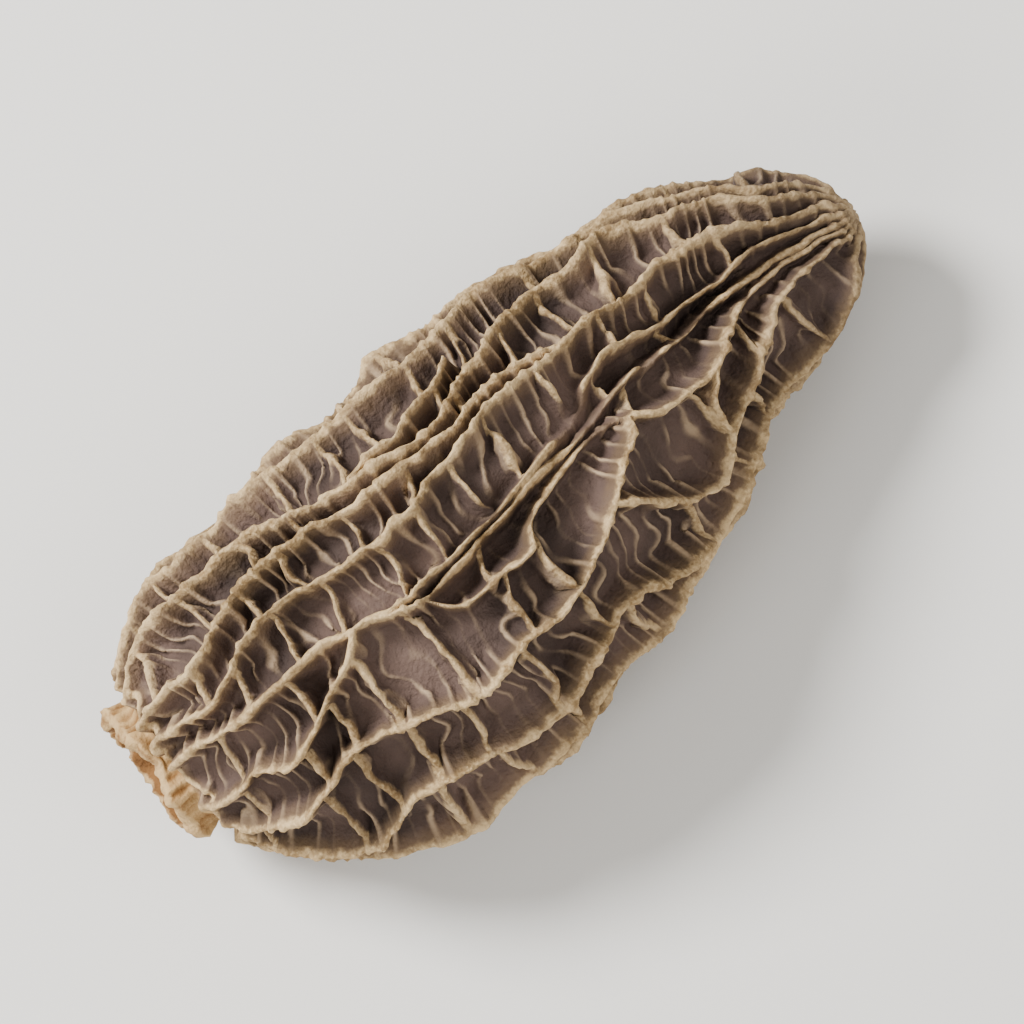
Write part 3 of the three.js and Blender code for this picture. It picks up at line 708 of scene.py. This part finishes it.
def stalk_fibres(tree, given, place, known):
    """The fibres that run along the stalk, and how far its cut edge strays lengthwise."""
    drawn_out = add(tree, VECTOR_MATH, {0: place, 1: (DRAWN_OUT, 1.0, 1.0)}, operation="MULTIPLY")
    fibres = swing(tree, drawn_out, WAVELENGTHS["fibres"], 1.0)
    fibres = add(tree, MATH, {0: fibres, 1: known["stalk"]}, operation="MULTIPLY")
    torn = swing(tree, drawn_out, WAVELENGTHS["tears"], 2.0)
    torn = add(tree, MATH, {0: torn, 1: known["rim"]}, operation="MULTIPLY")
    torn = add(tree, MATH, {0: torn, 1: given["Cut raggedness"]}, operation="MULTIPLY")
    return fibres, torn


def fine_relief(tree, given, place):
    """The finest relief: the folds and the fibres, and the crinkles over all."""
    fold = add(tree, STORED, {"Name": "folds"}, data_type="FLOAT")
    fibre = add(tree, STORED, {"Name": "fibres"}, data_type="FLOAT")
    fine = swing(tree, place, WAVELENGTHS["crinkles"], 2.0)
    depth = add(tree, MATH, {0: fold, 1: given["Fold height"]}, operation="MULTIPLY")
    depth = add(tree, MATH, {0: fine, 1: given["Crinkle depth"], 2: depth}, operation="MULTIPLY_ADD")
    return add(tree, MATH, {0: fibre, 1: given["Fibre depth"], 2: depth}, operation="MULTIPLY_ADD")


def displaced(tree, geometry, direction, distance):
    """The geometry with each point moved a distance in a direction."""
    offset = add(tree, VECTOR_MATH, {0: direction, "Scale": distance}, operation="SCALE")
    return add(tree, "GeometryNodeSetPosition", {0: geometry, "Offset": offset})


def pressed_flat(tree, geometry, softness):
    """Points below the resting plane are brought up to just above it, ever closer as they lay lower."""
    place = add(tree, "ShaderNodeSeparateXYZ", {0: add(tree, "GeometryNodeInputPosition")})
    z = place.outputs["Z"]
    square = add(tree, MATH, {0: z, 1: z, 2: softness * softness}, operation="MULTIPLY_ADD")
    root = add(tree, MATH, {0: square}, operation="SQRT")
    doubled = add(tree, MATH, {0: z, 1: root}, operation="ADD")
    height = add(tree, MATH, {0: doubled, 1: 0.5}, operation="MULTIPLY")
    target = add(tree, "ShaderNodeCombineXYZ", {0: place.outputs[0], 1: place.outputs[1], 2: height})
    return add(tree, "GeometryNodeSetPosition", {0: geometry, "Position": target})


def tree_with_sockets(sizes):
    """An empty geometry tree that takes the skin, the ridge lines and these sizes, and gives the morel."""
    tree = bpy.data.node_groups.new("raise_ridges_and_shrivel", "GeometryNodeTree")
    tree.interface.new_socket("Skin", in_out="INPUT", socket_type="NodeSocketGeometry")
    tree.interface.new_socket("Ridge lines", in_out="INPUT", socket_type="NodeSocketObject")
    for name, value in sizes.items():
        socket = tree.interface.new_socket(name, in_out="INPUT", socket_type="NodeSocketFloat")
        socket.subtype = "DISTANCE"
        socket.default_value = value
    tree.interface.new_socket("Morel", in_out="OUTPUT", socket_type="NodeSocketGeometry")
    return tree


def known_of_skin(tree):
    """What the skin knows of each of its points, by name."""
    names = ("rise", "crease", "stalk", "inside", "rim")
    known = {name: add(tree, STORED, {"Name": name}, data_type="FLOAT") for name in names}
    known["out"] = add(tree, STORED, {"Name": "out"}, data_type="FLOAT_VECTOR")
    known["outside"] = add(tree, MATH, {0: 1.0, 1: known["inside"]}, operation="SUBTRACT")
    beyond_stalk = add(tree, MATH, {0: 1.0, 1: known["stalk"]}, operation="SUBTRACT")
    known["cap"] = add(tree, MATH, {0: known["outside"], 1: beyond_stalk}, operation="MULTIPLY")
    return known


def shrivel_tree(sizes, material):
    """Raises the ridges from the skin, wrinkles it and presses it flat underneath."""
    tree = tree_with_sockets(sizes)
    given = add(tree, "NodeGroupInput").outputs
    place = add(tree, "GeometryNodeInputPosition")
    known = known_of_skin(tree)
    net = ridge_net(tree, given, place, known["out"])
    count = ladder(tree, place, given["Fold spacing"])
    folds = cap_folds(tree, place, count, known, net)
    fibres, torn = stalk_fibres(tree, given, place, known)
    marks = {
        "crest": net["main"], "rung": net["rungs"]["blade"], "fold_count": count, "folds": folds,
        "fibres": fibres,
    }
    geometry = given["Skin"]
    for name, value in marks.items():
        mark = {0: geometry, "Name": name, "Value": value}
        geometry = add(tree, "GeometryNodeStoreNamedAttribute", mark, data_type="FLOAT", domain="POINT")
    geometry = displaced(tree, geometry, known["out"], outward_move(tree, given, place, known, net))
    leaning = leaning_move(tree, given, known, net)
    geometry = add(tree, "GeometryNodeSetPosition", {0: geometry, "Offset": leaning})
    geometry = displaced(tree, geometry, (1.0, 0.0, 0.0), torn)
    normal = add(tree, "GeometryNodeInputNormal")
    geometry = displaced(tree, geometry, normal, fine_relief(tree, given, place))
    geometry = pressed_flat(tree, geometry, SOFT_PRESS * MM)
    geometry = add(tree, "GeometryNodeRealizeInstances", {0: geometry})
    geometry = add(tree, "GeometryNodeSetMaterial", {0: geometry, "Material": material})
    add(tree, "NodeGroupOutput", {0: geometry})
    return tree


def morel_mesh(sizes, material):
    """The finished flesh as a plain mesh, thinned to fewer triangles where it is smooth."""
    lines, piece = ridge_lines(), skin()
    tree = shrivel_tree(sizes, material)
    modifier = piece.modifiers.new("shrivel", "NODES")
    modifier.node_group = tree
    sockets = {item.name: item.identifier for item in tree.interface.items_tree if item.in_out == "INPUT"}
    modifier[sockets["Ridge lines"]] = lines
    thin = piece.modifiers.new("thin", "DECIMATE")
    thin.ratio = MOST_TRIANGLES / sum(len(polygon.vertices) - 2 for polygon in piece.data.polygons)
    thin.use_collapse_triangulate = True
    evaluated = piece.evaluated_get(bpy.context.evaluated_depsgraph_get())
    mesh = bpy.data.meshes.new_from_object(evaluated)
    for helper in (piece, lines):
        data = helper.data
        bpy.data.objects.remove(helper)
        bpy.data.meshes.remove(data)
    for name in ("out", "rise", "run", "crease"):
        mesh.attributes.remove(mesh.attributes[name])
    return mesh


# Materials.

# The sizes of the flesh's colour patches, of its mottling and of the meal on its surface, in millimetres.
PATCH_SIZE = 5
MOTTLE_SIZE = 0.9
MEAL_SIZE = 0.22
MEAL_DEPTH = 0.14

# Colours that follow from the others: rubbed specks on the crests, and the wall of the hollow.
RUBBED_SPECKS = "#DEC699"
LINING_DARK = "#5F3D20"
LINING_LIGHT = "#8F6438"

# How values of the surface turn into looks, as (value from, value to, result at the first, at the second).
# Painted shade darkens the tip, from and to a place in metres from the middle of the part.
PATCH_TONE = (0.35, 0.65, 0.0, 1.0)
FOLD_LINE = (0.02, 0.2, 1.0, 0.0)
RUNG_EDGE = (0.6, 0.92, 0.0, 0.85)
RIB_EDGE = (0.7, 0.96, 0.0, 1.0)
RIB_WALL = (0.25, 0.8, 0.0, 0.32)
WEAR = (0.75, 1.15, 0.0, 1.0)
RUBBED = (0.6, 0.72, 0.0, 0.3)
# Painted shade: how far the tip is darkened, as if it lay in shadow.
SHADED_TIP = (11 * MM, 21 * MM, 0.0, 0.4)
CUT_FACE = (0.85, 1.05, 0.0, 0.8)
ROUGHNESS = (0.3, 0.7, 0.72, 0.9)

# How much one irregularity counts where it is added to, or multiplied by, another value.
LINE_STRENGTH = 0.8
EDGE_UNEVENNESS = 0.5
WEAR_BY_MEAL = 0.7
WEAR_BY_PATCH = 0.25
STREAKS = 2.5
CUT_UNEVENNESS = 0.9


def new_material(name):
    """An empty material with nodes, and its tree."""
    material = bpy.data.materials.new(name)
    material.use_nodes = True
    material.node_tree.nodes.clear()
    return material, material.node_tree


def flesh_grain(tree, place):
    """The irregular patterns of the flesh: patches, mottling and the finest meal on its surface."""
    patches = add(tree, NOISE, {"Vector": place, "Scale": 1 / (PATCH_SIZE * MM), "Detail": 3.0})
    mottle = {"Vector": place, "Scale": 1 / (MOTTLE_SIZE * MM), "Detail": 4.0, "Roughness": 0.6}
    mottle = add(tree, NOISE, mottle)
    meal = add(tree, NOISE, {"Vector": place, "Scale": 1 / (MEAL_SIZE * MM), "Detail": 2.0})
    tone = add(tree, RANGE, over(patches, PATCH_TONE))
    uneven = add(tree, MATH, {0: mottle, 1: 0.5}, operation="SUBTRACT")
    return {"mottle": mottle, "meal": meal, "tone": tone, "uneven": uneven}


def fold_lines(tree, known):
    """How much a pale line shows, along each thin fold in the pits."""
    off = add(tree, MATH, {0: known["fold_count"], 1: 0.5}, operation="PINGPONG")
    line = add(tree, RANGE, over(off, FOLD_LINE), interpolation_type="SMOOTHSTEP")
    line = add(tree, MATH, {0: line, 1: known["folds"]}, operation="MULTIPLY")
    return add(tree, MATH, {0: line, 1: LINE_STRENGTH}, operation="MULTIPLY")


def crest_layers(tree, colours, known, grain):
    """Pale along the ribs and the lip, fainter along the rungs, and a third as pale down the walls."""
    edges = {}
    for name in ("rung", "crest"):
        inputs = {0: grain["uneven"], 1: EDGE_UNEVENNESS, 2: known[name]}
        edges[name] = add(tree, MATH, inputs, operation="MULTIPLY_ADD")
    rung = add(tree, RANGE, over(edges["rung"], RUNG_EDGE), interpolation_type="SMOOTHSTEP")
    wall = add(tree, RANGE, over(edges["crest"], RIB_WALL), interpolation_type="SMOOTHSTEP")
    rib = add(tree, RANGE, over(edges["crest"], RIB_EDGE), interpolation_type="SMOOTHSTEP")
    edge = add(tree, MATH, {0: rib, 1: rung}, operation="MAXIMUM")
    worn = {0: grain["meal"], 1: WEAR_BY_MEAL, 2: grain["mottle"]}
    worn = add(tree, MATH, worn, operation="MULTIPLY_ADD")
    worn = add(tree, MATH, {0: grain["tone"], 1: WEAR_BY_PATCH, 2: worn}, operation="MULTIPLY_ADD")
    worn = add(tree, RANGE, over(worn, WEAR))
    crests = {0: worn, 6: colours["crest_dark"], 7: colours["crest_light"]}
    crests = add(tree, MIX, crests, data_type="RGBA")
    rubbed = add(tree, RANGE, over(grain["meal"], RUBBED))
    rubbed = add(tree, MATH, {0: rubbed, 1: edge}, operation="MULTIPLY")
    return [(wall, colours["crest_dark"]), (edge, crests), (rubbed, linear(RUBBED_SPECKS))]


def stub_layers(tree, colours, known, grain):
    """The stub of the stalk, streaked along its fibres, the wall of the hollow and the face of the cut."""
    streak = add(tree, MATH, {0: known["fibres"], 1: STREAKS, 2: grain["mottle"]}, operation="MULTIPLY_ADD")
    stem = add(tree, MIX, {0: streak, 6: colours["stem_dark"], 7: colours["stem_light"]}, data_type="RGBA")
    lining = {0: grain["mottle"], 6: linear(LINING_DARK), 7: linear(LINING_LIGHT)}
    lining = add(tree, MIX, lining, data_type="RGBA")
    cut = {0: grain["uneven"], 1: CUT_UNEVENNESS, 2: known["rim"]}
    cut = add(tree, MATH, cut, operation="MULTIPLY_ADD")
    cut = add(tree, RANGE, over(cut, CUT_FACE))
    return [(known["stalk"], stem), (known["inside"], lining), (cut, colours["cut_face"])]


def dried_cap_flesh(colours):
    """Dried mushroom flesh: leathery and matt, dark in the pits, paler where folds and crests were rubbed,
    with painted shade towards the tip.
    """
    material, tree = new_material("morel_flesh_air_dried")
    place = add(tree, "ShaderNodeTexCoord").outputs["Object"]
    known = {
        name: add(tree, "ShaderNodeAttribute", attribute_name=name).outputs["Fac"]
        for name in ("crest", "rung", "fold_count", "folds", "stalk", "inside", "fibres", "rim")
    }
    grain = flesh_grain(tree, place)
    lengthwise = add(tree, "ShaderNodeSeparateXYZ", {0: place}).outputs["X"]
    pits = {0: grain["tone"], 6: colours["pit_dark"], 7: colours["pit_light"]}
    colour = add(tree, MIX, pits, data_type="RGBA")
    layers = [
        (fold_lines(tree, known), colours["fold"]),
        *crest_layers(tree, colours, known, grain),
        # Painted shade: the tip is darkened towards the darkest pit colour, as if it lay in shadow.
        (add(tree, RANGE, over(lengthwise, SHADED_TIP)), colours["pit_dark"]),
        *stub_layers(tree, colours, known, grain),
    ]
    for share, laid_on in layers:
        colour = add(tree, MIX, {0: share, 6: colour, 7: laid_on}, data_type="RGBA")
    bump = {"Strength": 0.8, "Distance": MEAL_DEPTH * MM, "Height": grain["meal"]}
    relief = add(tree, "ShaderNodeBump", bump)
    rough = add(tree, RANGE, over(grain["mottle"], ROUGHNESS))
    surface = {"Base Color": colour, "Roughness": rough, "Normal": relief}
    shader = add(tree, "ShaderNodeBsdfPrincipled", surface)
    shader.inputs["IOR"].default_value = 1.45
    shader.inputs["Specular IOR Level"].default_value = 0.25
    add(tree, "ShaderNodeOutputMaterial", {"Surface": shader})
    return material


def matt_floor(paint):
    """Matt painted board: a pale, even ground with no gloss, so that only a soft shadow shows on it."""
    material, tree = new_material("matt_painted_board")
    shader = add(tree, "ShaderNodeBsdfPrincipled", {"Base Color": paint, "Roughness": 0.9})
    shader.inputs["Specular IOR Level"].default_value = 0.2
    add(tree, "ShaderNodeOutputMaterial", {"Surface": shader})
    return material


# The stage.

FLOOR_RADIUS = 1.5
FLOOR_CORNERS = 96
# Soft round lamps that look at the morel: angles in degrees, sizes in metres and power in watts.
LAMPS = [
    {"name": "key", "azimuth": 215, "elevation": 50, "distance": 0.35, "size": 0.14, "power": 2.4},
    {"name": "fill", "azimuth": 30, "elevation": 45, "distance": 0.4, "size": 0.3, "power": 0.7},
    {"name": "side", "azimuth": -70, "elevation": 35, "distance": 0.4, "size": 0.2, "power": 0.7},
]
ROOM_COLOUR = "#F2F1EE"
ROOM_STRENGTH = 0.5


def towards(azimuth, elevation):
    """The direction from the morel to a viewer, by the angles that the frame uses."""
    flat = math.cos(elevation)
    return Vector((math.sin(azimuth) * flat, -math.cos(azimuth) * flat, math.sin(elevation)))


def aim(thing, direction, target, distance, roll=0.0):
    """Puts a camera or a lamp at a distance from its target, looking at it."""
    thing.location = target + direction * distance
    level = (-direction).to_track_quat("-Z", "Y")
    thing.rotation_euler = (level @ Quaternion((0, 0, 1), roll)).to_euler()


def add_lamp(target, name, azimuth, elevation, distance, size, power):
    """A soft round lamp that looks at a target."""
    light = bpy.data.lights.new(name, "AREA")
    light.shape = "DISK"
    light.size = size
    light.energy = power
    lamp = bpy.data.objects.new(name, light)
    bpy.context.scene.collection.objects.link(lamp)
    aim(lamp, towards(math.radians(azimuth), math.radians(elevation)), target, distance)


def add_floor(paint):
    """A plain disc that the morel lies on."""
    turn = np.linspace(0, 2 * math.pi, FLOOR_CORNERS, endpoint=False)
    ring = [(FLOOR_RADIUS * math.cos(a), FLOOR_RADIUS * math.sin(a), 0.0) for a in turn]
    mesh = bpy.data.meshes.new("floor")
    mesh.from_pydata(ring, [], [list(range(len(ring)))])
    mesh.materials.append(matt_floor(paint))
    floor = link("floor", mesh)


def add_room():
    """The even light of a pale room."""
    world = bpy.data.worlds.new("studio")
    bpy.context.scene.world = world
    world.use_nodes = True
    background = world.node_tree.nodes["Background"]
    background.inputs["Color"].default_value = linear(ROOM_COLOUR)
    background.inputs["Strength"].default_value = ROOM_STRENGTH


def add_camera(settings, target):
    """A camera whose picture is as wide at the target as the settings say."""
    data = bpy.data.cameras.new("camera")
    data.lens = settings.lens
    data.clip_start = 0.01
    camera = bpy.data.objects.new("camera", data)
    bpy.context.scene.collection.objects.link(camera)
    distance = settings.seen_width * data.lens / data.sensor_width
    aim(camera, towards(settings.azimuth, settings.elevation), target, distance, settings.roll)
    bpy.context.scene.camera = camera


# Settings that a user would change, the operators and the panel.


def length(name, description, millimetres):
    """A size that is shown as a length."""
    return bpy.props.FloatProperty(
        name=name, description=description, default=millimetres * MM, unit="LENGTH", precision=5,
    )


def tint(name, description, hex_colour):
    """A colour from its sRGB hex value."""
    return bpy.props.FloatVectorProperty(
        name=name, description=description, default=linear(hex_colour), size=4, subtype="COLOR",
    )


class MorelFleshSettings(bpy.types.PropertyGroup):
    """Sizes and colours of the flesh"""

    rib_reach: length("Rib reach", "How far the foot of a rib spreads from its crest line", 0.88)
    rung_reach: length("Rung reach", "How far the foot of a cross ridge spreads from its crest line", 0.8)
    lip_reach: length("Lip reach", "How far the foot of the margin's lip spreads", 0.9)
    crest_wander: length("Crest wander", "How far the ridges stray from their even courses", 1.6)
    crest_kinks: length("Crest kinks", "How far the ridges kink from side to side at short range", 0.6)
    crest_lean: length("Crest lean", "How far the crests bend over to the side", 1.5)
    floor_sag: length("Floor sag", "How far the floor of a pit sinks between its ridges", 0.25)
    shrivel_depth: length("Shrivel depth", "How deep the soft dents of drying go", 0.5)
    fold_spacing: length("Fold spacing", "How far apart the thin folds lie that cross the pits", 0.95)
    fold_height: length("Fold height", "How high those folds stand", 0.2)
    crinkle_depth: length("Crinkle depth", "How deep the finest crinkles go", 0.2)
    fibre_depth: length("Fibre depth", "How deep the grooves between the stalk's fibres go", 0.35)
    cut_raggedness: length("Cut raggedness", "How far the cut edge of the stalk strays", 1.4)
    pit_dark: tint("Pit, dark", "Darkest colour of the pits", "#3B2F2A")
    pit_light: tint("Pit, light", "Palest colour of the pits between their folds", "#645148")
    fold: tint("Fold", "Colour along the thin folds in the pits", "#A68E72")
    crest_dark: tint("Crest, dark", "Darker colour of the crests", "#8A6F4A")
    crest_light: tint("Crest, light", "Paler colour of the crests", "#CDAF82")
    stem_dark: tint("Stem, dark", "Colour of the grooves of the stalk", "#80592F")
    stem_light: tint("Stem, light", "Colour of the fibres of the stalk", "#C7A470")
    cut_face: tint("Cut face", "Colour of the flesh where the stalk was cut", "#C9A877")


class MorelStageSettings(bpy.types.PropertyGroup):
    """Camera and floor"""

    azimuth: bpy.props.FloatProperty(
        name="Azimuth", description="Angle of the camera round the morel", default=math.radians(0),
        subtype="ANGLE",
    )
    elevation: bpy.props.FloatProperty(
        name="Elevation", description="Angle of the camera above the floor", default=math.radians(70),
        subtype="ANGLE",
    )
    roll: bpy.props.FloatProperty(
        name="Roll", description="Turn of the camera about its own line of sight", default=math.radians(-38),
        subtype="ANGLE",
    )
    seen_width: length("Seen width", "Width of the picture at the morel", 50)
    lens: bpy.props.FloatProperty(
        name="Lens", description="Focal length of the camera, in millimetres", default=150, unit="CAMERA",
    )
    floor_colour: tint("Floor", "Colour of the floor", "#E6E3DD")


class MOREL_OT_flesh(bpy.types.Operator):
    """Grows the dried flesh with its ridges, wrinkles, cut stalk and hollow"""

    bl_idname = "morel.flesh"
    bl_label = "Grow the flesh"

    def execute(self, context):
        settings = context.scene.morel_flesh
        sizes, colours = {}, {}
        for key, prop in settings.bl_rna.properties.items():
            if prop.type == "FLOAT" and prop.array_length == 4:
                colours[key] = tuple(getattr(settings, key))
            elif prop.type == "FLOAT":
                sizes[prop.name] = getattr(settings, key)
        mesh = morel_mesh(sizes, dried_cap_flesh(colours))
        if len(mesh.polygons) == 0:
            raise RuntimeError("the flesh has no faces")
        piece = link("dried_morel_flesh", mesh)
        mesh.name = piece.name
        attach(piece, "root")
        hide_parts(CAD_NODE)
        return {"FINISHED"}


class MOREL_OT_stage(bpy.types.Operator):
    """Sets the floor, the lights and the camera"""

    bl_idname = "morel.stage"
    bl_label = "Set the stage"

    def execute(self, context):
        settings = context.scene.morel_stage
        low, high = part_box(CAD_NODE)
        middle = (low + high) / 2
        add_floor(settings.floor_colour)
        for lamp in LAMPS:
            add_lamp(middle, **lamp)
        add_room()
        add_camera(settings, middle)
        return {"FINISHED"}


class MOREL_PT_panel(bpy.types.Panel):
    """Lists the operators, each with its settings"""

    bl_label = "Dried morel"
    bl_idname = "MOREL_PT_panel"
    bl_space_type = "VIEW_3D"
    bl_region_type = "UI"
    bl_category = "Morel"

    def draw(self, context):
        scene = context.scene
        for operator, settings in ((MOREL_OT_flesh, scene.morel_flesh), (MOREL_OT_stage, scene.morel_stage)):
            self.layout.operator(operator.bl_idname)
            for name in type(settings).__annotations__:
                self.layout.prop(settings, name)


CLASSES = (MorelFleshSettings, MorelStageSettings, MOREL_OT_flesh, MOREL_OT_stage, MOREL_PT_panel)


def register():
    for each in CLASSES:
        bpy.utils.register_class(each)
    bpy.types.Scene.morel_flesh = bpy.props.PointerProperty(type=MorelFleshSettings)
    bpy.types.Scene.morel_stage = bpy.props.PointerProperty(type=MorelStageSettings)


def unregister():
    del bpy.types.Scene.morel_stage
    del bpy.types.Scene.morel_flesh
    for each in reversed(CLASSES):
        bpy.utils.unregister_class(each)


def main():
    """Makes the part and the stage."""
    register()
    bpy.ops.morel.flesh()
    bpy.ops.morel.stage()
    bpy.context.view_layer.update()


if __name__ == "__main__":
    main()
